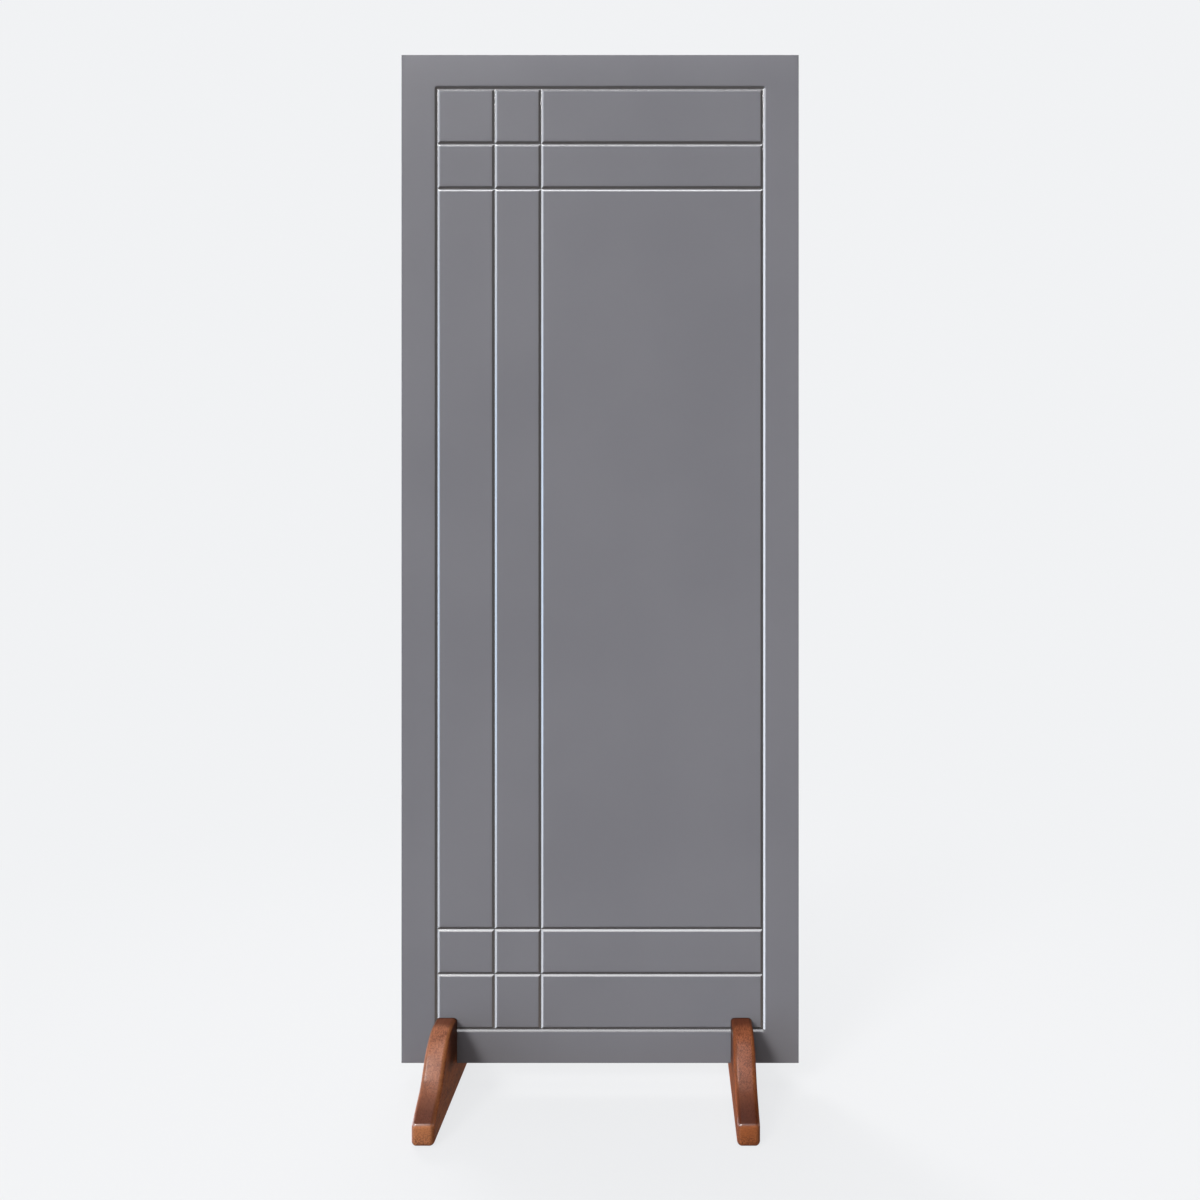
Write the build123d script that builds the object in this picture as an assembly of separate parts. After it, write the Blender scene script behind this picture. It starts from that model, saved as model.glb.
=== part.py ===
from build123d import *

import math
import os

# A flush door leaf with a routed groove pattern, held upright in two shaped wooden feet.
# Millimetres. +Z is up, -Y is the front, and the origin is on the floor under the leaf's middle.

# Leaf, over its outer faces
leaf_width = 800.0
leaf_height = 2030.0
leaf_thickness = 40.0
arris_radius = 1.5  # edges of both faces, eased once the leaf is glued up

# What the leaf is glued up from
skin_thickness = 8.0
lipping_thickness = 8.0
stile_width = 60.0
top_rail_height = 90.0
bottom_rail_height = 90.0
lock_block_width = 100.0
lock_block_height = 300.0
lock_height = 1000.0  # bottom edge of the leaf to the middle of the lock blocks
tube_face_wall = 4.0  # core left between a tube and the skin
tube_web = 16.0  # core left between two tubes

# Routed grooves, each measured to its deepest line
groove_angle = 120.0  # degrees, between the two walls
groove_web = 4.8  # skin left under a groove
side_border = 72.0  # long edge of the leaf to the frame groove
end_border = 68.0  # top or bottom edge of the leaf to the frame groove
outer_column = 115.5  # left frame groove to the first upright groove
inner_column = 93.5  # first upright groove to the second
outer_row = 111.0  # top or bottom frame groove to the first level groove
inner_row = 90.5  # first level groove to the second

# Feet
foot_width = 42.0
foot_height = 148.0
foot_reach = 180.0  # slot to toe, the same in front and behind
toe_height = 40.0
seat_height = 55.0  # floor to the leaf's bottom edge
slot_clearance = 0.3  # each side of the leaf
slot_flare = 2.5  # bevel at the mouth of the slot
foot_roundover = 9.0
toe_radius = 12.0
sole_chamfer = 4.0
left_foot_inset = 91.5  # long edge of the leaf to the foot's middle
right_foot_inset = 116.0

# Side outline of a foot, as shares of its reach or height
shoulder_reach_share = 0.37
hollow_reach_share = 0.675
hollow_height_share = 0.524
shoulder_radius_share = 0.47
hollow_radius_share = 0.39

overrun = 2.0  # how far a cutter passes the face it cuts

# Worked out from the sizes above
leaf_bottom = seat_height
leaf_top = seat_height + leaf_height
half_width = leaf_width / 2
half_thickness = leaf_thickness / 2
core_half = half_thickness - skin_thickness
stile_outer = half_width - lipping_thickness
stile_inner = stile_outer - stile_width
core_bottom = leaf_bottom + bottom_rail_height
core_top = leaf_top - top_rail_height
lock_bottom = leaf_bottom + lock_height - lock_block_height / 2
lock_top = lock_bottom + lock_block_height
lock_inner = stile_inner - lock_block_width
groove_depth = skin_thickness - groove_web
slot_half = half_thickness + slot_clearance


def block(x_from, x_to, y_from, y_to, z_from, z_to):
    """A plain block between two limits on each axis."""
    size = Box(x_to - x_from, y_to - y_from, z_to - z_from)
    return Pos((x_from + x_to) / 2, (y_from + y_to) / 2, (z_from + z_to) / 2) * size


def leaf_blank():
    """The whole leaf as one slab with eased faces. Each outer piece is cut from it, so all stay flush."""
    slab = block(-half_width, half_width, -half_thickness, half_thickness, leaf_bottom, leaf_top)
    face_edges = [edge for side in slab.faces().filter_by(Axis.Y) for edge in side.edges()]
    return fillet(face_edges, arris_radius)


def groove_run(length):
    """The V-shaped cutter of a straight groove: across in X, into the leaf along +Y, running up Z."""
    half_mouth = (groove_depth + overrun) * math.tan(math.radians(groove_angle / 2))
    section = Polygon((-half_mouth, -overrun), (half_mouth, -overrun), (0, groove_depth), align=None)
    return extrude(section, amount=length, dir=(0, 0, 1))


def groove_corner():
    """A quarter of the V bit's own cone, which rounds the outside of a frame corner."""
    half_mouth = (groove_depth + overrun) * math.tan(math.radians(groove_angle / 2))
    section = Polygon((0, -overrun), (half_mouth, -overrun), (0, groove_depth), align=None)
    return revolve(section, axis=Axis.Y, revolution_arc=90)


def groove_cutters():
    """Every groove of the front face: a frame, two uprights near its left side and four levels."""
    left = side_border - half_width
    right = half_width - side_border
    bottom = leaf_bottom + end_border
    top = leaf_top - end_border
    uprights = [left, left + outer_column, left + outer_column + inner_column, right]
    levels = [bottom, bottom + outer_row, bottom + outer_row + inner_row]
    levels += [top - outer_row - inner_row, top - outer_row, top]
    face = -half_thickness
    cutters = [Pos(x, face, bottom) * groove_run(top - bottom) for x in uprights]
    cutters += [Pos(left, face, z) * Rot(0, 90, 0) * groove_run(right - left) for z in levels]
    corners = [(right, bottom), (left, bottom), (left, top), (right, top)]
    for quarter_turns, (x, z) in enumerate(corners):
        cutters.append(Pos(x, face, z) * Rot(0, 90 * quarter_turns, 0) * groove_corner())
    return cutters


def front_skin(blank):
    """The facing board of the front, flush with the lippings, with the grooves routed into it."""
    board = block(-stile_outer, stile_outer, -half_thickness, -core_half, leaf_bottom, leaf_top)
    return (blank & board) - groove_cutters()


def left_lipping(blank):
    """The strip that closes the left long edge and covers the edges of both skins."""
    strip = block(-half_width, -stile_outer, -half_thickness, half_thickness, leaf_bottom, leaf_top)
    return blank & strip


def left_stile():
    """The upright of the inner frame, as tall as the leaf."""
    return block(-stile_outer, -stile_inner, -core_half, core_half, leaf_bottom, leaf_top)


def rail(z_from, z_to):
    """A level piece of the inner frame, between the stiles."""
    return block(-stile_inner, stile_inner, -core_half, core_half, z_from, z_to)


def left_lock_block():
    """Solid wood beside the stile at handle height, where a lock could be let in."""
    return block(-stile_inner, -lock_inner, -core_half, core_half, lock_bottom, lock_top)


def tubular_core():
    """The board that fills the inner frame: upright tubes all through it, notched round the lock blocks."""
    tube_radius = core_half - tube_face_wall
    tube_pitch = 2 * tube_radius + tube_web
    tube_count = int((2 * stile_inner - tube_web) / tube_pitch)
    section = Rectangle(2 * stile_inner, 2 * core_half)
    section -= [place * Circle(tube_radius) for place in GridLocations(tube_pitch, 0, tube_count, 1)]
    board = extrude(Pos(0, 0, core_bottom) * section, amount=core_top - core_bottom, dir=(0, 0, 1))
    notch = block(-stile_inner, -lock_inner, -core_half, core_half, lock_bottom, lock_top)
    return board - [notch, mirror(notch, about=Plane.YZ)]


def foot_outline():
    """Side view of a foot: flat top, full shoulder, hollow and blunt toe, the same front and back."""
    front_points = [
        (-slot_half - foot_reach, 0),
        (-slot_half - foot_reach, toe_height),
        (-slot_half - hollow_reach_share * foot_reach, hollow_height_share * foot_height),
        (-slot_half - shoulder_reach_share * foot_reach, foot_height),
    ]
    back_points = [(-y, z) for y, z in reversed(front_points)]
    front_radii = [toe_radius, hollow_radius_share * foot_reach, shoulder_radius_share * foot_reach]
    upper = FilletPolyline(front_points + back_points, radius=front_radii + front_radii[::-1])
    sole = Line(upper @ 1, upper @ 0)
    return make_face(Plane.YZ * (upper + sole))


def foot_slot():
    """The cutter of the slot that the leaf stands in, with a bevelled mouth."""
    mouth = slot_half + slot_flare + overrun
    section = Polygon(
        (-slot_half, seat_height),
        (slot_half, seat_height),
        (slot_half, foot_height - slot_flare),
        (mouth, foot_height + overrun),
        (-mouth, foot_height + overrun),
        (-slot_half, foot_height - slot_flare),
        align=None,
    )
    return extrude(Plane.YZ * section, amount=foot_width / 2 + overrun, both=True)


def foot():
    """One foot over the origin, sawn to its outline, rounded over along both sides, then slotted."""
    body = extrude(foot_outline(), amount=foot_width / 2, both=True)
    sides = body.faces().sort_by(Axis.X)
    edges = [edge for side in (sides[0], sides[-1]) for edge in side.edges().sort_by(Axis.Z)[1:]]
    body = fillet(edges, foot_roundover)
    body = chamfer(body.faces().sort_by(Axis.Z)[0].edges(), sole_chamfer)
    return body - foot_slot()


blank = leaf_blank()
nodes = {
    "front_skin": front_skin(blank),
    "left_lipping": left_lipping(blank),
    "left_stile": left_stile(),
    "left_lock_block": left_lock_block(),
    "top_rail": rail(core_top, leaf_top),
    "bottom_rail": rail(leaf_bottom, core_bottom),
    "tubular_core": tubular_core(),
    "left_foot": Pos(left_foot_inset - half_width, 0, 0) * foot(),
    "right_foot": Pos(half_width - right_foot_inset, 0, 0) * foot(),
}
nodes["back_skin"] = mirror(nodes["front_skin"], about=Plane.XZ)
for piece in ("lipping", "stile", "lock_block"):
    nodes["right_" + piece] = mirror(nodes["left_" + piece], about=Plane.YZ)

os.makedirs("parts", exist_ok=True)
for name, shape in sorted(nodes.items()):
    export_step(shape, f"parts/{name}.step")
    print(name, "volume", round(shape.volume), "mm3")
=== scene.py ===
# %% [markdown]
# # A painted door leaf in two wooden feet
# The object is a flush door leaf with V grooves routed into its faces, sprayed grey and stood
# upright in two stained wooden feet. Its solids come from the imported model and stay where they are.
# This lesson dresses them: it remodels the routed faces and the feet with the soft edges that paint
# and sandpaper give, mixes the paint, the stained wood and the inner woods from nodes, and lights
# the result.

# %% Load the solids
import math

import bpy
import numpy as np
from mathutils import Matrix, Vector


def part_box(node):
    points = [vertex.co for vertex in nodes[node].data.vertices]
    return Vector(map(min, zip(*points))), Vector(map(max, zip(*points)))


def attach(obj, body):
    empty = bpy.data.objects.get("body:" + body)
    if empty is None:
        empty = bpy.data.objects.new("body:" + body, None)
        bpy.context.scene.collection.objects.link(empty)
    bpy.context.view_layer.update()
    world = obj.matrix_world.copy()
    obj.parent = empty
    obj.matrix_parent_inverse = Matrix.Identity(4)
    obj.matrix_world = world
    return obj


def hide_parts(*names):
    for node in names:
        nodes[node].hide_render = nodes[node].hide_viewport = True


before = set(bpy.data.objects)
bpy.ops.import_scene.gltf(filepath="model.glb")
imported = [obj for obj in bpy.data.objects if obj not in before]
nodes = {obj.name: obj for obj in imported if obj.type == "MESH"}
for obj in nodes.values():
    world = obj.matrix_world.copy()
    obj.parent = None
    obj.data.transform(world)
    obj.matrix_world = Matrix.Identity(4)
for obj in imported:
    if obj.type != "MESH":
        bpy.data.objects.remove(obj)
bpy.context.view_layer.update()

print("loaded", len(nodes), "solids:", ", ".join(sorted(nodes)))

# %% [markdown]
# The main sizes are read off the solids, so that the new pieces land where the solids are. The leaf
# stands between the two lippings, its front face looks along -Y, and the feet reach out from it both
# ways. Only what a solid doesn't tell, such as a softness or a tone, is given as a number, and so are the
# few shares that give the outline of a foot.

# %% Measure the leaf and the feet
leaf_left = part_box("left_lipping")[0].x
leaf_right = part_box("right_lipping")[1].x
skin_low, skin_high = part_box("front_skin")
leaf_face = skin_low.y
leaf_bottom, leaf_top = skin_low.z, skin_high.z
foot_low, foot_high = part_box("left_foot")
toe_reach = leaf_face - foot_low.y
print(f"leaf {leaf_right - leaf_left:.3f} by {leaf_top - leaf_bottom:.3f} m, toes {toe_reach:.3f} m out")

# %% [markdown]
# ## The camera
# The picture is square-on: every upright and level line of the leaf stays upright and level, so the
# camera looks straight along +Y. Such a picture has one vanishing point, where all depth lines meet.
# It lies right of the middle and a little above it, and a lens shift puts it there without turning
# the camera. The leaf's height in pixels sets the scale. How much larger the toes look than the leaf
# sets the distance, because what is nearer by a known reach grows by a known share. The toe counts
# down to the sharp corner that its sole has before rounding, a little lower than what shows.

# %% Place the camera
picture_px = 1200
leaf_top_px, leaf_bottom_px = 54.6, 1063.3
leaf_middle_px = 600.0
vanishing_px = (670.0, 570.0)
toe_bottom_px = 1148.0

metres_per_px = (leaf_top - leaf_bottom) / (leaf_bottom_px - leaf_top_px)
floor_px = leaf_bottom_px + leaf_bottom / metres_per_px
toe_growth = (toe_bottom_px - vanishing_px[1]) / (floor_px - vanishing_px[1])
distance = toe_reach * toe_growth / (toe_growth - 1)

camera_data = bpy.data.cameras.new("camera")
camera_data.lens = camera_data.sensor_width * distance / (picture_px * metres_per_px)
camera_data.shift_x = (picture_px / 2 - vanishing_px[0]) / picture_px
camera_data.shift_y = (vanishing_px[1] - picture_px / 2) / picture_px
camera = bpy.data.objects.new("camera", camera_data)
camera.location = (
    (vanishing_px[0] - leaf_middle_px) * metres_per_px,
    leaf_face - distance,
    leaf_bottom + (leaf_bottom_px - vanishing_px[1]) * metres_per_px,
)
camera.rotation_euler = (math.radians(90), 0, 0)
bpy.context.scene.collection.objects.link(camera)
bpy.context.scene.camera = camera
print(f"camera {distance:.2f} m from the leaf and {camera.location.z:.2f} m up")
print(f"lens {camera_data.lens:.1f} mm")

# %% [markdown]
# ## Sums instead of wires
# A shader is a sum drawn as a diagram, and it reads better as a sum. `Field` wraps one output socket,
# and each operator on it adds the Math node that does it. `node` makes every other kind: it sets the
# node's options first, because they decide which sockets it has, and then fills or links the sockets.

# %% A socket that does arithmetic
class Field:
    """One output socket of a node tree, or with no socket the bare tree."""

    def __init__(self, tree, socket=None):
        self.tree = tree
        self.socket = socket

    def node(self, kind, options=None, out=0, **inputs):
        """Adds a node and returns one output. An input is named as its socket, or i0, i1 by its place."""
        made = self.tree.nodes.new("ShaderNode" + kind)
        for name, value in (options or {}).items():
            setattr(made, name, value)
        for name, value in inputs.items():
            key = int(name[1:]) if name[1:].isdigit() else name.replace("_", " ")
            self.fill(made.inputs[key], value)
        return Field(self.tree, made.outputs[out])

    def fill(self, target, value):
        """Links a field to a socket, or sets the socket to a plain value."""
        if isinstance(value, Field):
            self.tree.links.new(value.socket, target)
        else:
            target.default_value = value

    def math(self, operation, *values):
        return self.node("Math", {"operation": operation}, **{f"i{k}": v for k, v in enumerate(values)})

    def __add__(self, other):
        return self.math("ADD", self, other)

    __radd__ = __add__

    def __sub__(self, other):
        return self.math("SUBTRACT", self, other)

    def __rsub__(self, other):
        return self.math("SUBTRACT", other, self)

    def __mul__(self, other):
        return self.math("MULTIPLY", self, other)

    __rmul__ = __mul__

    def __abs__(self):
        return self.math("ABSOLUTE", self)

    def __neg__(self):
        return self.math("MULTIPLY", self, -1.0)

    def ramp(self, low, high):
        """0 below low and 1 above high, with a smooth step between."""
        options = {"interpolation_type": "SMOOTHSTEP"}
        return self.node("MapRange", options, Value=self, From_Min=low, From_Max=high)

    def mix(self, first, second):
        """The first colour where this field is 0 and the second where it is 1."""
        return self.node("Mix", {"data_type": "RGBA"}, 2, i0=self, i6=first, i7=second)

    def tinted(self, tint, share=1.0):
        """A colour multiplied by a tint, by a share of it."""
        options = {"data_type": "RGBA", "blend_type": "MULTIPLY"}
        return self.node("Mix", options, 2, i0=share, i6=self, i7=tint)

    def stretched(self, x, y, z):
        """A place with its axes scaled, so that a texture runs long or short along them."""
        return self.node("VectorMath", {"operation": "MULTIPLY"}, i0=self, i1=(x, y, z))

    def moved(self, x, y, z):
        """A place seen from another origin."""
        return self.node("VectorMath", {"operation": "SUBTRACT"}, i0=self, i1=(x, y, z))

    def length(self):
        """The distance of a place from its origin."""
        return self.node("VectorMath", {"operation": "LENGTH"}, "Value", i0=self)

    def part(self, axis):
        """One axis of a place or direction, 0 to 2 for X, Y and Z."""
        return self.node("SeparateXYZ", None, axis, Vector=self)

    def noise(self, scale, detail=2.0, roughness=0.5):
        """Smooth random values around 0.5."""
        return self.node("TexNoise", None, 0, Vector=self, Scale=scale, Detail=detail, Roughness=roughness)


def new_material(name):
    """A material with its principled shader, a bare field to build from and the place in metres."""
    material = bpy.data.materials.new(name)
    material.use_nodes = True
    shader = material.node_tree.nodes["Principled BSDF"]
    tree = Field(material.node_tree)
    return material, shader, tree, tree.node("TexCoord", None, "Object")


def new_piece(name, points, faces, sharp_degrees):
    """A mesh object whose faces are smooth, apart from edges that bend more than an angle."""
    mesh = bpy.data.meshes.new(name)
    mesh.from_pydata([tuple(point) for point in points], [], faces)
    mesh.shade_smooth()
    mesh.set_sharp_from_angle(angle=math.radians(sharp_degrees))
    piece = bpy.data.objects.new(name, mesh)
    bpy.context.scene.collection.objects.link(piece)
    return piece


print("Field handles sums, ramps, mixes and noise")

# %% [markdown]
# ## The routed faces
# A V bit run over fibreboard leaves a groove with two flat walls, and paint then rounds its three
# edges a little. The solid has the crisp groove. Bevelling its triangles would tear where grooves
# cross, so the face is laid out afresh as a grid of level and upright lines that crowd together at
# each groove. A formula pushes every grid point in by its depth. The lines of the grooves are read
# from the solid: its deepest points lie where the grooves cross, and the points of its face next to
# a crossing give the groove's width.

# %% Find the grooves on the solid
same_plane = 0.0002
skin_points = np.array([v.co for v in nodes["front_skin"].data.vertices])
inside = skin_points[skin_points[:, 1] < skin_high.y - same_plane]
groove_depth = inside[:, 1].max() - leaf_face
floor_points = inside[inside[:, 1] > leaf_face + groove_depth - same_plane]
face_points = inside[inside[:, 1] < leaf_face + same_plane]
uprights = np.unique(np.round(floor_points[:, 0], 4))
levels = np.unique(np.round(floor_points[:, 2], 4))
groove_half = np.abs(face_points[:, 0] - uprights[1]).min()
print(f"uprights {uprights}, levels {levels}, {groove_half * 2000:.1f} by {groove_depth * 1000:.1f} mm")

# %% The depth of the face at any place
arris_softness = 0.0005
floor_softness = 0.0008


def groove_distance(x, z):
    """How far each place of the face is from the nearest groove's middle line."""
    past_ends = np.maximum(np.maximum(levels[0] - z, z - levels[-1]), 0)
    past_sides = np.maximum(np.maximum(uprights[0] - x, x - uprights[-1]), 0)
    runs = [np.hypot(x - place, past_ends) for place in uprights]
    runs += [np.hypot(z - place, past_sides) for place in levels]
    return np.min(runs, axis=0)


def groove_profile(x, z):
    """The depth of a V with a rounded floor and rounded upper edges, 0 on the flat face."""
    away = groove_distance(x, z)
    near = np.clip(floor_softness - away, 0, None)
    away = away + near ** 2 / (2 * floor_softness)
    wall = groove_depth * (1 - away / groove_half)
    near = np.clip(arris_softness - np.abs(wall), 0, None)
    return np.maximum(wall, 0) + near ** 2 / (4 * arris_softness)


print(f"groove floor {float(groove_profile(uprights[0], levels[2])) * 1000:.2f} mm below the face")

# %% Lay the grid
groove_shares = (0, 0.05, 0.1, 0.16, 0.4, 0.65, 0.82, 0.89, 0.95, 1.0, 1.06, 1.12, 1.2, 1.5)
arris_radius = 0.0015
arris_steps = 5


def quarter_turns(steps):
    """Angles from 0 to a right angle, in equal steps."""
    return [math.radians(90) * step / steps for step in range(steps + 1)]


def grid_lines(low, high, places):
    """Lines from low to high that crowd round each groove."""
    lines = {low, high}
    for place in places:
        lines |= {place + side * share * groove_half for share in groove_shares for side in (-1, 1)}
    return np.array(sorted(lines))


def skin_rows():
    """The grid's levels, as (height, set-back) pairs that turn over the rounded top and bottom edges."""
    inner = grid_lines(leaf_bottom + arris_radius, leaf_top - arris_radius, levels)
    thickness = skin_high.y - skin_low.y
    turns = quarter_turns(arris_steps)[1:]
    over = [(arris_radius * math.sin(t), arris_radius * (1 - math.cos(t))) for t in turns]
    top = [(leaf_top - arris_radius + rise, back) for rise, back in over] + [(leaf_top, thickness)]
    bottom = [(leaf_bottom + leaf_top - z, back) for z, back in reversed(top)]
    return bottom + [(z, 0.0) for z in inner] + top


columns = grid_lines(skin_low.x, skin_high.x, uprights)
rows = skin_rows()
print(f"grid of {len(columns)} by {len(rows)} points")

# %% [markdown]
# Where two grooves cross, a grid cell folds along one of its diagonals. Split along the wrong one it
# would leave a row of small teeth, so each bent cell is cut along the diagonal that comes closer to
# the true depth at its middle. Strips close the board at its back, and one face closes each side.

# %% Build the two routed boards
flat_enough = 1e-6
board_crease_degrees = 25


def cell_faces(corners, depths, middle):
    """One cell as a square where it is flat, or as two triangles along its fold."""
    a, b, c, d = corners
    rising = abs((depths[0] + depths[2]) / 2 - middle)
    falling = abs((depths[1] + depths[3]) / 2 - middle)
    if abs(rising - falling) < flat_enough:
        return [(a, b, c, d)]
    if rising < falling:
        return [(a, b, c), (a, c, d)]
    return [(a, b, d), (b, c, d)]


def routed_board(name, toward_viewer):
    """A facing board as a closed mesh; toward_viewer is -1 for the front and 1 for the back."""
    heights = np.array([row[0] for row in rows])
    set_backs = np.array([row[1] for row in rows])
    x, z = np.meshgrid(columns, heights)
    depth = groove_profile(x, z) + set_backs[:, None]
    y = toward_viewer * (-leaf_face - depth)
    points = np.stack([x, y, z], axis=-1).reshape(-1, 3)
    mid_x, mid_z = np.meshgrid((columns[:-1] + columns[1:]) / 2, (heights[:-1] + heights[1:]) / 2)
    mid_depth = groove_profile(mid_x, mid_z) + ((set_backs[:-1] + set_backs[1:]) / 2)[:, None]
    wide, tall = len(columns), len(rows)
    faces = []
    for j in range(tall - 1):
        for i in range(wide - 1):
            corners = (j * wide + i, j * wide + i + 1, (j + 1) * wide + i + 1, (j + 1) * wide + i)
            depths = [depth.flat[corner] for corner in corners]
            faces += cell_faces(corners, depths, mid_depth[j, i])
    last_row = (tall - 1) * wide
    faces += [(i, last_row + i, last_row + i + 1, i + 1) for i in range(wide - 1)]
    faces.append(tuple(j * wide for j in range(tall)))
    faces.append(tuple(j * wide + wide - 1 for j in reversed(range(tall))))
    if toward_viewer > 0:
        faces = [face[::-1] for face in faces]
    return new_piece(name, points, faces, board_crease_degrees)


boards = []
for side, toward_viewer in (("front", -1), ("back", 1)):
    board = routed_board(f"{side}_routed_board", toward_viewer)
    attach(board, "root")
    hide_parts(f"{side}_skin")
    boards.append(board)
    print(board.name, len(board.data.polygons), "faces")

# %% [markdown]
# ## The feet
# A foot is sawn from a plank to a side outline with a full shoulder, a hollow and a blunt toe, then
# every edge is rounded over and sanded, and a slot is cut for the leaf. The mesh is made the same
# way. The outline is a few corners with a radius each. Copies of it, moved in from the edge and out
# to the side along a quarter circle, make the round-over, and a boolean cuts the slot last.

# %% Round the corners of an outline
def cross(a, b):
    """The cross product of two flat vectors held as complex numbers."""
    return (a.conjugate() * b).imag


def moved_in(corners, distance):
    """The corners of a left-turning outline, every edge of it moved inwards by a distance."""
    ahead = [corners[(k + 1) % len(corners)] - corner for k, corner in enumerate(corners)]
    ahead = [edge / abs(edge) for edge in ahead]
    inner = []
    for k, corner in enumerate(corners):
        before, after = ahead[k - 1], ahead[k]
        step = 1j * after * distance - 1j * before * distance
        slide = before * cross(step, after) / cross(before, after)
        inner.append(corner + 1j * before * distance + slide)
    return inner


def rounded(corners, radii, steps):
    """The points of an outline, as complex numbers, with an arc in place of each corner."""
    points = []
    for k, corner in enumerate(corners):
        back = corners[k - 1] - corner
        ahead = corners[(k + 1) % len(corners)] - corner
        back, ahead = back / abs(back), ahead / abs(ahead)
        half = abs(np.angle(back / ahead)) / 2
        centre = corner + (back + ahead) / abs(back + ahead) * radii[k] / math.sin(half)
        first = corner + back * radii[k] / math.tan(half) - centre
        last = corner + ahead * radii[k] / math.tan(half) - centre
        turn = np.angle(last / first)
        points += [centre + first * np.exp(1j * turn * step / steps) for step in range(steps + 1)]
    return points


slot_clearance = 0.0003
toe_top = 0.040
toe_sole_radius = 0.009
toe_top_radius = 0.012
hollow_corner = 2
hollow_out_share = 0.675
hollow_up_share = 0.524
hollow_radius_share = 0.39
shoulder_out_share = 0.37
shoulder_radius_share = 0.47

slot_half = -leaf_face + slot_clearance
foot_half = (foot_high.x - foot_low.x) / 2
foot_top = foot_high.z
toe_end = foot_high.y
reach = toe_end - slot_half
hollow = slot_half + hollow_out_share * reach + 1j * hollow_up_share * foot_top
shoulder = slot_half + shoulder_out_share * reach + 1j * foot_top
back_corners = [toe_end + 0j, toe_end + 1j * toe_top, hollow, shoulder]
bend_radii = [hollow_radius_share * reach, shoulder_radius_share * reach]
back_radii = [toe_sole_radius, toe_top_radius] + bend_radii
foot_corners = back_corners + [-corner.conjugate() for corner in reversed(back_corners)]
foot_radii = back_radii + back_radii[::-1]
print(len(foot_corners), "corners round a foot")

# %% Loft the feet and cut their slots
roundover = 0.009
roundover_steps = 9
arc_steps = 12
smallest_radius = 0.0008
slot_flare = 0.0025
cutter_overrun = 0.002
foot_crease_degrees = 30


def foot_ring(share):
    """The outline moved in by a share of the round-over; outer corners tighten and hollows widen."""
    inward = roundover * share
    hollows = (hollow_corner, len(foot_corners) - 1 - hollow_corner)
    radii = []
    for k, radius in enumerate(foot_radii):
        change = inward if k in hollows else -inward
        radii.append(max(radius + change, smallest_radius))
    return rounded(moved_in(foot_corners, inward), radii, arc_steps)


def foot_loft(name, middle):
    """The rounded foot without its slot, over a middle in X."""
    turns = quarter_turns(roundover_steps)
    right = [(foot_half - roundover * (1 - math.sin(t)), 1 - math.cos(t)) for t in turns]
    rings = [(-x, share) for x, share in reversed(right)] + right
    points = [(middle + x, p.real, p.imag) for x, share in rings for p in foot_ring(share)]
    around = len(points) // len(rings)
    faces = [tuple(reversed(range(around)))]
    for ring in range(len(rings) - 1):
        here, there = ring * around, (ring + 1) * around
        for k in range(around):
            after = (k + 1) % around
            faces.append((here + k, here + after, there + after, there + k))
    faces.append(tuple(range((len(rings) - 1) * around, len(rings) * around)))
    return new_piece(name, points, faces, foot_crease_degrees)


def slot_cutter(middle):
    """A bar as thick as the leaf and its clearance, flared at the mouth of the slot."""
    mouth = slot_half + slot_flare + cutter_overrun
    right = [
        (slot_half, leaf_bottom),
        (slot_half, foot_top - slot_flare),
        (mouth, foot_top + cutter_overrun),
    ]
    section = right + [(-y, z) for y, z in reversed(right)]
    reach_x = foot_half + cutter_overrun
    points = [(middle + side * reach_x, y, z) for side in (-1, 1) for y, z in section]
    around = len(section)
    faces = [tuple(reversed(range(around))), tuple(range(around, 2 * around))]
    faces += [(k, (k + 1) % around, around + (k + 1) % around, around + k) for k in range(around)]
    return new_piece("slot_cutter", points, faces, foot_crease_degrees)


def slotted_foot(name, middle):
    """The lofted foot with its slot cut by a boolean, whose result becomes the mesh."""
    foot = foot_loft(name, middle)
    cutter = slot_cutter(middle)
    cut = foot.modifiers.new("slot", "BOOLEAN")
    cut.solver = "EXACT"
    cut.operation = "DIFFERENCE"
    cut.object = cutter
    depsgraph = bpy.context.evaluated_depsgraph_get()
    cut_mesh = bpy.data.meshes.new_from_object(foot.evaluated_get(depsgraph))
    foot.modifiers.clear()
    foot.data = cut_mesh
    cut_mesh.set_sharp_from_angle(angle=math.radians(foot_crease_degrees))
    bpy.data.objects.remove(cutter)
    return foot


feet = []
foot_middles = []
for side in ("left", "right"):
    low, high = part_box(f"{side}_foot")
    middle = (low.x + high.x) / 2
    foot = slotted_foot(f"{side}_rounded_foot", middle)
    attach(foot, "root")
    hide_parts(f"{side}_foot")
    feet.append(foot)
    foot_middles.append(middle)
    print(foot.name, len(foot.data.polygons), "faces at x", round(middle, 4))

# %% [markdown]
# ## The paint
# The leaf is sprayed with a satin grey. Up close sprayed paint is never flat: it dries to a faint
# orange peel, its sheen wanders a little, and it runs into a groove, where it lies thicker and
# glossier and levels out. The grooves are also painted darker than the face, which is painted shade
# in the recess on top of the thicker paint. How deep a point lies under the face says where it is,
# and the place in Y gives that. The rounded edges of the leaf lie as deep and are no grooves, so a
# second mask keeps the border round the pattern plain.

# %% Mix the satin paint
paint_grey = (0.126, 0.125, 0.136, 1)
paint_light = (0.133, 0.132, 0.143, 1)
# The darker groove grey is painted shade in the recess, over the thicker paint that lies there.
groove_paint_and_shade_grey = (0.058, 0.056, 0.058, 1)
groove_coat_depths = (0.0002, 0.0008)
clouds_per_metre = 3.0
sheen_per_metre = 9.0
peel_per_metre = 320.0
fine_peel_per_metre = 1100.0
peel_height = 0.0006


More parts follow.
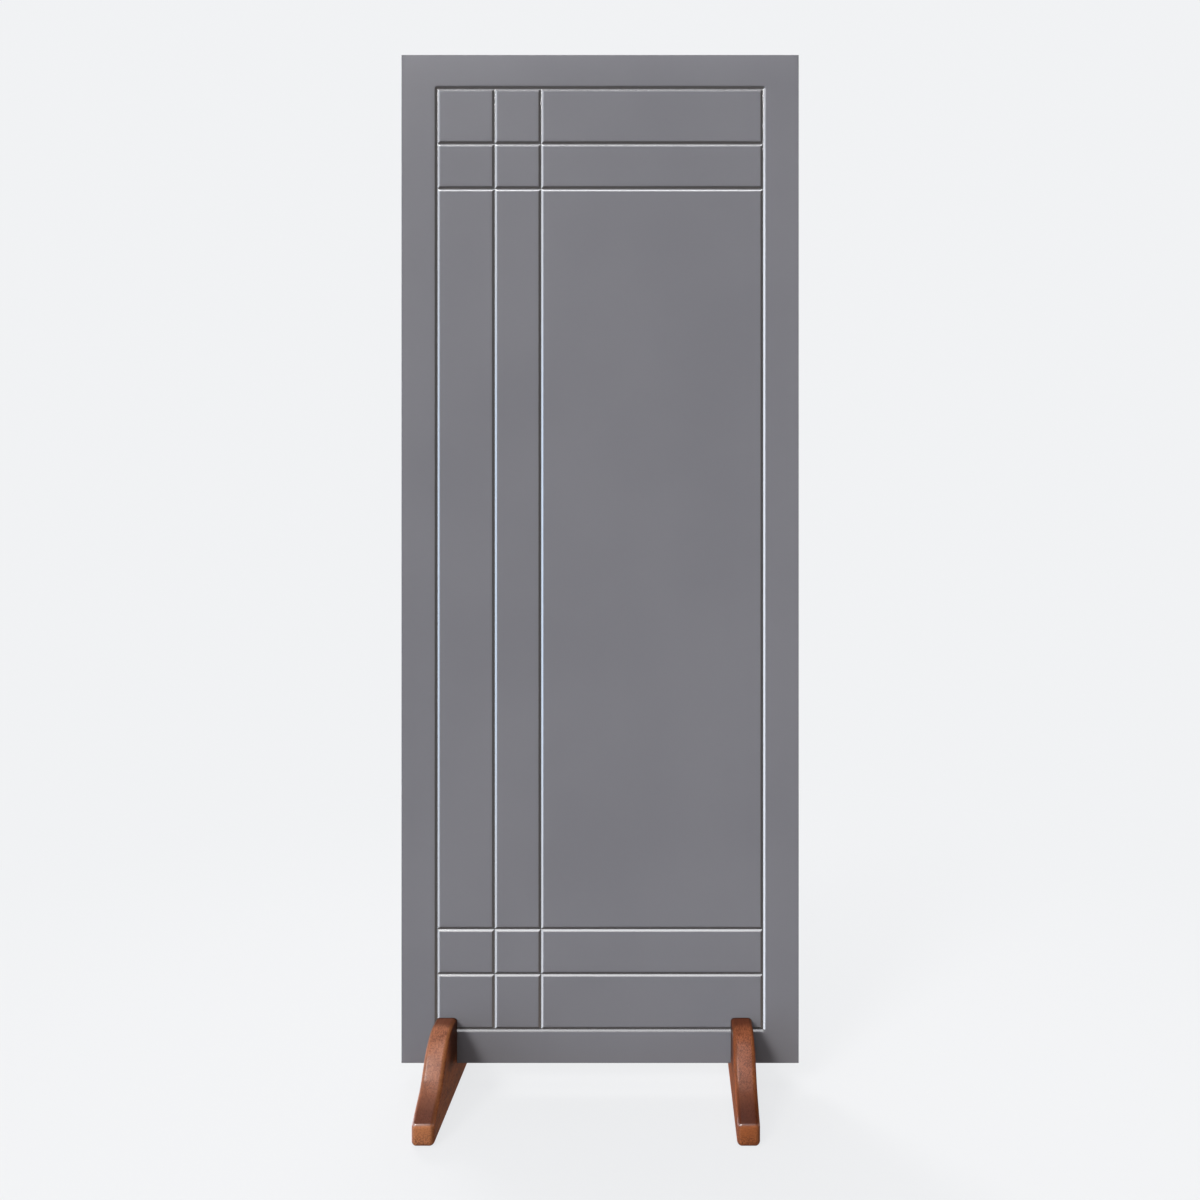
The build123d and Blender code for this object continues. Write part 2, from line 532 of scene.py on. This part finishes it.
def inside_border(place):
    """1 over the groove pattern, 0 on the border round it and on the edges of the leaf."""
    inside = 1.0
    for axis, lines in ((0, uprights), (2, levels)):
        middle = (lines[0] + lines[-1]) / 2
        half = (lines[-1] - lines[0]) / 2
        off_middle = abs(place.part(axis) - middle)
        inside = inside * (1 - off_middle.ramp(half + groove_half, half + 2 * groove_half))
    return inside


def leaf_paint():
    """Satin enamel over routed fibreboard."""
    material, shader, tree, place = new_material("leaf_paint")
    below_face = -leaf_face - abs(place.part(1))
    in_groove = below_face.ramp(*groove_coat_depths) * inside_border(place)
    clouds = place.noise(clouds_per_metre, 3.0)
    tone = clouds.ramp(0.35, 0.65).mix(paint_grey, paint_light)
    # The grooves get the darker grey: painted shade in the recess.
    tree.fill(shader.inputs["Base Color"], in_groove.mix(tone, groove_paint_and_shade_grey))
    sheen = place.noise(sheen_per_metre, 4.0)
    tree.fill(shader.inputs["Roughness"], 0.34 + 0.10 * sheen)
    tree.fill(shader.inputs["Coat Weight"], in_groove)
    shader.inputs["Coat Roughness"].default_value = 0.15
    shader.inputs["Coat IOR"].default_value = 2.5
    shader.inputs["Specular IOR Level"].default_value = 0.10
    peel = place.noise(peel_per_metre, 1.0) + 0.35 * place.noise(fine_peel_per_metre, 1.0)
    levelled = peel * (1 - 0.7 * in_groove)
    bump = tree.node("Bump", None, 0, Height=levelled, Strength=0.10, Distance=peel_height)
    tree.fill(shader.inputs["Normal"], bump)
    return material


paint = leaf_paint()
for board in boards:
    board.data.materials.append(paint)
lippings = ("left_lipping", "right_lipping")
for name in lippings:
    nodes[name].material_slots[0].material = paint
print("paint on", len(boards) + len(lippings), "pieces")

# %% [markdown]
# ## The stain
# The feet are a fine-grained hardwood with the grain along the foot. Its patterns are noises drawn
# out along Y: long streaks, short specks and fine pores, with round blotches over them. A picture of
# wood laid round a foot would show its seams, while noise in space runs through the foot as real
# grain does.

# %% Grow the grain
streaks_per_metre = 330.0
specks_per_metre = 600.0
pores_per_metre = 1300.0
blotches_per_metre = 45.0
streak_stretch = 0.05
speck_stretch = 0.2
pore_stretch = 0.12
grain_height = 0.0006


def wood_grain(place):
    """Streaks, specks and pores drawn out along the foot, and round blotches."""
    streaks = place.stretched(1.0, streak_stretch, 1.0).noise(streaks_per_metre, 4.0, 0.6)
    specks = place.stretched(1.0, speck_stretch, 1.0).noise(specks_per_metre, 2.0, 0.6)
    pores = place.stretched(1.0, pore_stretch, 1.0).noise(pores_per_metre, 2.0).ramp(0.58, 0.72)
    blotches = place.noise(blotches_per_metre, 3.0)
    return streaks, specks, pores, blotches


print("grain of streaks, specks, pores and blotches")

# %% [markdown]
# Stain goes on unevenly, and each place that takes it in its own way gets a mask: a value from 0 to 1
# made from the place and from where the surface faces. What lies level, the toe and the top, is painted
# darker, which is painted shade on the wood that faces up. The mouth of the slot and the sides beside it
# are painted nearly black, a painted contact shadow next to the leaf. On the sawn end of the toe the cut
# fibres show as dark dots, most of them low down. `along` is the distance from the middle of the leaf,
# and `facing` is the direction square to the surface.

# %% Find where the stain gathers and where shade is painted
toe_flat = (0.110, 0.190)
top_flat = (0.040, 0.070)
top_shade_share = 0.75
arris_full = 0.004
arris_fade = 0.003
end_start = 0.020
end_full = 0.006
end_dots_per_metre = 380.0
end_dot_heights = (0.006, 0.034)
slot_side_reach = (0.060, 0.110)
slot_side_heights = (0.060, 0.085)
slot_mouth_reach = (0.0235, 0.029)
slot_floor_fade = 0.010
slot_shade_share = 0.85
level_facing = (0.30, 0.85)
end_facing = (0.75, 0.98)
slot_side_facing = (0.70, 0.95)


def on_arris(place):
    """The round-overs along both sides of a foot."""
    left, right = (abs(place.part(0) - middle) for middle in foot_middles)
    aside = place.math("MINIMUM", left, right)
    inner = aside.ramp(foot_half - roundover, foot_half - arris_full)
    return inner * (1 - aside.ramp(foot_half - arris_fade, foot_half))


def on_toe_end(along, facing):
    """The upright end of the toe."""
    return abs(facing.part(1)).ramp(*end_facing) * along.ramp(toe_end - end_start, toe_end - end_full)


def end_grain_dots(place):
    """The cut fibres on the end of the toe, fewer towards its top."""
    dots = place.noise(end_dots_per_metre, 3.0, 0.7).ramp(0.44, 0.56)
    return dots * (0.95 - 0.6 * place.part(2).ramp(*end_dot_heights))


def painted_level_shade(along, facing):
    """Painted shade on level wood: on the toe and, less so, on the top."""
    on_top = top_shade_share * (1 - along.ramp(*top_flat))
    return facing.part(2).ramp(*level_facing) * (along.ramp(*toe_flat) + on_top)


def painted_slot_shade(place, along, facing):
    """Painted contact shadow on the sides next to the slot and in the slot's mouth."""
    height = place.part(2)
    shade_beside_slot = (1 - along.ramp(*slot_side_reach)) * height.ramp(*slot_side_heights)
    shade_beside_slot = shade_beside_slot * abs(facing.part(0)).ramp(*slot_side_facing)
    above_floor = height.ramp(leaf_bottom, leaf_bottom + slot_floor_fade)
    shade_at_mouth = (1 - along.ramp(*slot_mouth_reach)) * above_floor
    return slot_shade_share * place.math("MAXIMUM", shade_beside_slot, shade_at_mouth)


# The pools and the thick stain in this list are painted shade.
print("masks for the arris, the toe's end, pools and thick stain")

# %% [markdown]
# The colours go on one over the other: the ground tone of the grain, an arris painted darker where it
# faces left and golden where it faces right, which is painted shade and painted warm light, the sanded
# end of the toe, lighter and more orange, then the painted shade on the level wood and the painted
# contact shadow at the slot. The sides of a foot are tinted warmer than its top, which is painted warm
# light, and the right foot took a darker, redder coat than the left one. A satin lacquer closes it, with a
# sheen on the top of the arm and a gleam along the top edge of the toe. The feet stay out of mirror
# reflections, so that the gleam of the grooves runs on behind them.

# %% Stain and lacquer the feet
stain_deep = (0.100, 0.037, 0.021, 1)
stain_mid = (0.246, 0.095, 0.050, 1)
stain_worn = (0.289, 0.110, 0.046, 1)
arris_painted_shade_left = (0.120, 0.046, 0.020, 1)
arris_painted_warmth_right = (0.200, 0.072, 0.020, 1)
pore_and_level_shade_brown = (0.044, 0.011, 0.005, 1)
slot_shade_dark = (0.018, 0.006, 0.004, 1)
painted_side_warmth = (1.15, 0.93, 0.62, 1)
right_foot_tint = (0.71, 0.58, 0.48, 1)
arris_turn = (-0.3, 0.3)
side_warmth_facing = (0.60, 0.95)
arm_start = (0.085, 0.118)
arm_end = (0.126, 0.155)
arm_side_facing = (0.10, 0.45)
toe_edge_full = 0.010
toe_edge_facing = 0.5
toe_edge_spread = (0.10, 0.25)


def stain_colour(place, along, facing, grain):
    """The colour of the wood under its lacquer, one coat over the other, with painted shade and painted
    warm light among the coats.
    """
    streaks, specks, pores, blotches = grain
    figure = 0.3 * streaks + 0.5 * specks + 0.2 * blotches
    on_end = on_toe_end(along, facing)
    body = figure.ramp(0.38, 0.60).mix(stain_deep, stain_mid)
    # The worn arris is painted darker where it faces left and golden where it faces right: painted shade
    # and painted warm light by facing.
    arris_wear_light_and_shade = facing.part(0).ramp(*arris_turn).mix(arris_painted_shade_left, arris_painted_warmth_right)
    body = (0.5 * on_arris(place)).mix(body, arris_wear_light_and_shade)
    body = on_end.mix(body, stain_worn)
    # Level wood is painted darker here: painted shade on what faces up. The same dark brown also fills the
    # pores below.
    level_shade = painted_level_shade(along, facing) * (1 - 0.6 * on_end) * (0.4 + specks)
    body = level_shade.mix(body, pore_and_level_shade_brown)
    body = (on_end * end_grain_dots(place)).mix(body, stain_deep)
    body = (0.25 * pores).mix(body, pore_and_level_shade_brown)
    # Painted contact shadow, nearly black, in the slot's mouth and on the sides beside it.
    body = painted_slot_shade(place, along, facing).mix(body, slot_shade_dark)
    # The sides are tinted warmer: painted warm light on the faces that look sideways.
    body = body.tinted(painted_side_warmth, abs(facing.part(0)).ramp(*side_warmth_facing))
    return body.tinted(right_foot_tint, place.part(0).ramp(*foot_middles))


def lacquer_gloss(along, facing):
    """A sheen on the top of the arm and a gleam along the top edge of the toe."""
    on_arm = along.ramp(*arm_start) * (1 - along.ramp(*arm_end))
    on_arm = on_arm * (1 - abs(facing.part(0)).ramp(*arm_side_facing))
    off_edge = abs(facing.part(2) - toe_edge_facing).ramp(*toe_edge_spread)
    on_toe_edge = along.ramp(toe_end - end_start, toe_end - toe_edge_full) * (1 - off_edge)
    return 0.01 + 0.35 * on_arm + 0.9 * on_toe_edge


def foot_wood():
    """Brown stain under satin lacquer, with the grain along the foot."""
    material, shader, tree, place = new_material("foot_wood")
    grain = wood_grain(place)
    streaks, specks, pores, blotches = grain
    along = abs(place.part(1))
    facing = tree.node("NewGeometry", None, "Normal")
    tree.fill(shader.inputs["Base Color"], stain_colour(place, along, facing, grain))
    tree.fill(shader.inputs["Roughness"], 0.30 + 0.16 * blotches + 0.08 * pores)
    tree.fill(shader.inputs["Coat Weight"], lacquer_gloss(along, facing))
    shader.inputs["Coat Roughness"].default_value = 0.22
    shader.inputs["Specular IOR Level"].default_value = 0.05
    relief = streaks + 0.5 * specks - 0.8 * pores
    bump = tree.node("Bump", None, 0, Height=relief, Strength=0.15, Distance=grain_height)
    tree.fill(shader.inputs["Normal"], bump)
    return material


stained = foot_wood()
for foot in feet:
    foot.data.materials.append(stained)
    foot.visible_glossy = False
print("stain on", len(feet), "feet")

# %% [markdown]
# ## The woods inside
# Behind the boards hides an inner frame of planed softwood round a core of pressed chips. Only the
# ends of the frame come to light, in the top and bottom edges of the leaf, and they are sprayed with
# the rest. Softwood shows its year rings: a sine of the distance from a heart line, swayed by noise,
# and drawn out along the grain. Chips are cells, each with a tint of its own.

# %% Plane the inner frame
early_wood = (0.62, 0.43, 0.24, 1)
late_wood = (0.42, 0.23, 0.10, 1)
heart = (0.31, 0.07, 0.93)
ring_turns = 1500.0
ring_sway = 9.0
fibres_per_metre = 700.0
sways_per_metre = 16.0
fibre_stretch = 0.04
fibre_height = 0.0004
end_paint_depth = 0.0006


def softwood(name, grain):
    """Planed softwood with its grain along one axis, painted where it ends in the edge of the leaf."""
    material, shader, tree, place = new_material(name)
    drawn_out = place.stretched(*[fibre_stretch if axis == grain else 1.0 for axis in range(3)])
    across = [0.0 if axis == grain else 1.0 for axis in range(3)]
    fibres = drawn_out.noise(fibres_per_metre, 3.0)
    sway = drawn_out.noise(sways_per_metre, 3.0)
    radius = place.moved(*heart).stretched(*across).length()
    rings = radius.math("SINE", ring_turns * radius + ring_sway * sway)
    wood = (rings.ramp(-0.3, 1.0) * (0.6 + 0.4 * fibres)).mix(early_wood, late_wood)
    middle = (leaf_bottom + leaf_top) / 2
    half = (leaf_top - leaf_bottom) / 2
    painted = abs(place.part(2) - middle).ramp(half - end_paint_depth, half - end_paint_depth / 2)
    tree.fill(shader.inputs["Base Color"], painted.mix(wood, paint_grey))
    tree.fill(shader.inputs["Roughness"], 0.58 + 0.1 * fibres - 0.24 * painted)
    bump = tree.node("Bump", None, 0, Height=fibres, Strength=0.15, Distance=fibre_height)
    tree.fill(shader.inputs["Normal"], bump)
    return material


upright_wood = softwood("upright_softwood", 2)
level_wood = softwood("level_softwood", 0)
for name in ("left_stile", "right_stile", "left_lock_block", "right_lock_block"):
    nodes[name].material_slots[0].material = upright_wood
for name in ("top_rail", "bottom_rail"):
    nodes[name].material_slots[0].material = level_wood
print("softwood on the stiles, rails and lock blocks")

# %% Press the core
chip_light = (0.60, 0.45, 0.28, 1)
chip_dark = (0.34, 0.22, 0.12, 1)
chips_per_metre = 240.0
chip_stretch = 0.4
dust_per_metre = 900.0
chip_height = 0.0006


def chipboard():
    """Pressed chips, each with a tint of its own, under a thin grain of glue and dust."""
    material, shader, tree, place = new_material("chipboard")
    drawn_out = place.stretched(1.0, 1.0, chip_stretch)
    chips = tree.node("TexVoronoi", None, "Color", Scale=chips_per_metre, Vector=drawn_out)
    tint = chips.part(0)
    dust = place.noise(dust_per_metre, 2.0)
    tree.fill(shader.inputs["Base Color"], (0.7 * tint + 0.3 * dust).mix(chip_light, chip_dark))
    tree.fill(shader.inputs["Roughness"], 0.75 + 0.2 * dust)
    bump = tree.node("Bump", None, 0, Height=tint + dust, Strength=0.4, Distance=chip_height)
    tree.fill(shader.inputs["Normal"], bump)
    return material


nodes["tubular_core"].material_slots[0].material = chipboard()
print("chipboard in the core")

# %% [markdown]
# ## The stage
# The floor and the backdrop are one sheet of pale paper, a wide disc that curves up into a wall all
# round, so that every view ends in paper. It glows by itself, which keeps it even, and near the object
# it also takes a little of the room's light, so that a soft shadow shows there. Only the camera sees
# it: light passes it both ways, so it throws no glare on the leaf.

# %% Roll out the paper
paper_flat_radii = (0.8, 2.5)
paper_radius = 6.0
paper_curve = 1.5
paper_height = 8.0
paper_steps = 96
paper_curve_steps = 12
paper_crease_degrees = 180


def paper_profile():
    """The sheet's section as (radius, height) points: flat, then a quarter round, then upright."""
    flat = [(radius, 0.0) for radius in paper_flat_radii]
    turns = quarter_turns(paper_curve_steps)
    bend = [(paper_radius + paper_curve * math.sin(t), paper_curve * (1 - math.cos(t))) for t in turns]
    return flat + bend + [(paper_radius + paper_curve, paper_height)]


def roll_paper():
    """Turns the section round Z and closes the middle."""
    section = paper_profile()
    points = [(0.0, 0.0, 0.0)]
    for step in range(paper_steps):
        turn = math.tau * step / paper_steps
        points += [(r * math.cos(turn), r * math.sin(turn), z) for r, z in section]
    deep = len(section)
    faces = []
    for step in range(paper_steps):
        here, there = 1 + step * deep, 1 + (step + 1) % paper_steps * deep
        faces.append((0, here, there))
        faces += [(here + k, here + k + 1, there + k + 1, there + k) for k in range(deep - 1)]
    paper = new_piece("paper", points, faces, paper_crease_degrees)
    return paper


paper = roll_paper()
paper.visible_diffuse = False
paper.visible_glossy = False
paper.visible_transmission = False
paper.visible_shadow = False
print("paper of", len(paper.data.polygons), "faces")

# %% Colour the paper
paper_white = (0.88, 0.89, 0.905, 1)
paper_glow_near = (0.755, 0.763, 0.775, 1)
paper_share_near = (0.05, 0.05, 0.05, 1)
paper_share_far = (0, 0, 0, 1)
paper_fade = (0.5, 2.6)


def paper_finish():
    """Matt paper that glows by itself, less near the object, where the room lights it too."""
    material, shader, tree, place = new_material("paper")
    far = place.length().ramp(*paper_fade)
    tree.fill(shader.inputs["Emission Color"], far.mix(paper_glow_near, paper_white))
    shader.inputs["Emission Strength"].default_value = 1.0
    tree.fill(shader.inputs["Base Color"], far.mix(paper_share_near, paper_share_far))
    shader.inputs["Roughness"].default_value = 1.0
    shader.inputs["Specular IOR Level"].default_value = 0.0
    return material


paper.data.materials.append(paper_finish())
print("paper finished")

# %% [markdown]
# ## The light
# A groove shows by its two walls, one bright and one dark, so the light has to come from one side:
# here from the left and from above. Lamps near the leaf would fade along the grooves, so the room
# itself is the lamp, the same before and behind the leaf. A pane at the upper left lights the faces.
# It ends in a level sill, above what the rounded edges of the grooves mirror, so that they don't
# glare. A window far to the left, cooler in its middle and dimmer high up, and a strip of ceiling,
# brightest straight overhead, gleam in the walls of the grooves, because that is where those walls
# mirror the room. Some warm light comes back from the floor and some cool light from the far right,
# so that the edge there stays grey and isn't lost.

# %% Name the lights and where they are
pane_light = (65.5, 64.8, 64.0, 1)
window_light = (2.7, 2.85, 3.1, 1)
window_core_light = (2.7, 3.3, 4.1, 1)
window_near_light = (3.9, 4.15, 4.6, 1)
window_high_light = (2.2, 2.3, 2.5, 1)
ceiling_light = (3.2, 3.22, 3.35, 1)
zenith_light = (7.3, 7.35, 7.6, 1)
dim_light = (0.178, 0.166, 0.160, 1)
bounce_light = (1.0, 0.74, 0.56, 1)
right_light = (1.9, 2.05, 2.4, 1)

pane_across, pane_up = math.radians(36), math.radians(34)
pane_edge, pane_core = math.cos(math.radians(10)), math.cos(math.radians(7))
sill_low, sill_high = math.sin(math.radians(28.5)), math.sin(math.radians(30.5))
window_slant = 1.1
window_start = (-0.05, 0.08)
window_near = (0.18, 0.40)
window_core = (0.12, 0.36)
window_high = (0.36, 0.46)
window_ends = (0.50, 0.62)
ceiling_rise = (0.475, 0.585)
ceiling_shift = 0.06
ceiling_sides = (0.16, 0.30)
zenith_rise = (0.86, 0.98)
bounce_drop = (0.35, 0.70)
bounce_side = (0.15, 0.45)
far_right = (0.93, 0.985)
pane_middle = (
    -math.sin(pane_across) * math.cos(pane_up),
    math.cos(pane_across) * math.cos(pane_up),
    math.sin(pane_up),
)
print("pane towards", [round(part, 3) for part in pane_middle])

# %% Light the room
def window_colour(sideways, upward):
    """Cool in the middle of the window, brighter where it starts and dimmer high up."""
    colour = abs(upward).ramp(*window_core).mix(window_core_light, window_light)
    colour = sideways.ramp(*window_near).mix(window_near_light, colour)
    return upward.ramp(*window_high).mix(colour, window_high_light)


def room_colour(room):
    """The light from every direction. Its Y is folded, so that both sides of the leaf get the same."""
    direction = room.node("TexCoord", None, "Generated")
    aside, upward = direction.part(0), direction.part(2)
    off_leaf = abs(direction.part(1))
    sideways = -aside - window_slant * off_leaf
    bounce = (-upward).ramp(*bounce_drop) * aside.ramp(*bounce_side)
    window = sideways.ramp(*window_start) * (1 - abs(upward).ramp(*window_ends))
    walls = window.mix(bounce.mix(dim_light, bounce_light), window_colour(sideways, upward))
    walls = aside.ramp(*far_right).mix(walls, right_light)
    ceiling = upward.ramp(*ceiling_rise) * (1 - abs(aside + ceiling_shift).ramp(*ceiling_sides))
    overhead = upward.ramp(*zenith_rise).mix(ceiling_light, zenith_light)
    folded = room.node("CombineXYZ", X=aside, Y=off_leaf, Z=upward)
    facing_pane = room.node("VectorMath", {"operation": "DOT_PRODUCT"}, "Value", i0=folded, i1=pane_middle)
    pane = facing_pane.ramp(pane_edge, pane_core) * upward.ramp(sill_low, sill_high)
    return pane.mix(ceiling.mix(walls, overhead), pane_light)


world = bpy.data.worlds.new("room")
world.use_nodes = True
room = Field(world.node_tree)
room.fill(world.node_tree.nodes["Background"].inputs["Color"], room_colour(room))
bpy.context.scene.world = world
bpy.context.scene.view_settings.view_transform = "Standard"
print("room with a pane, a window side and a ceiling")
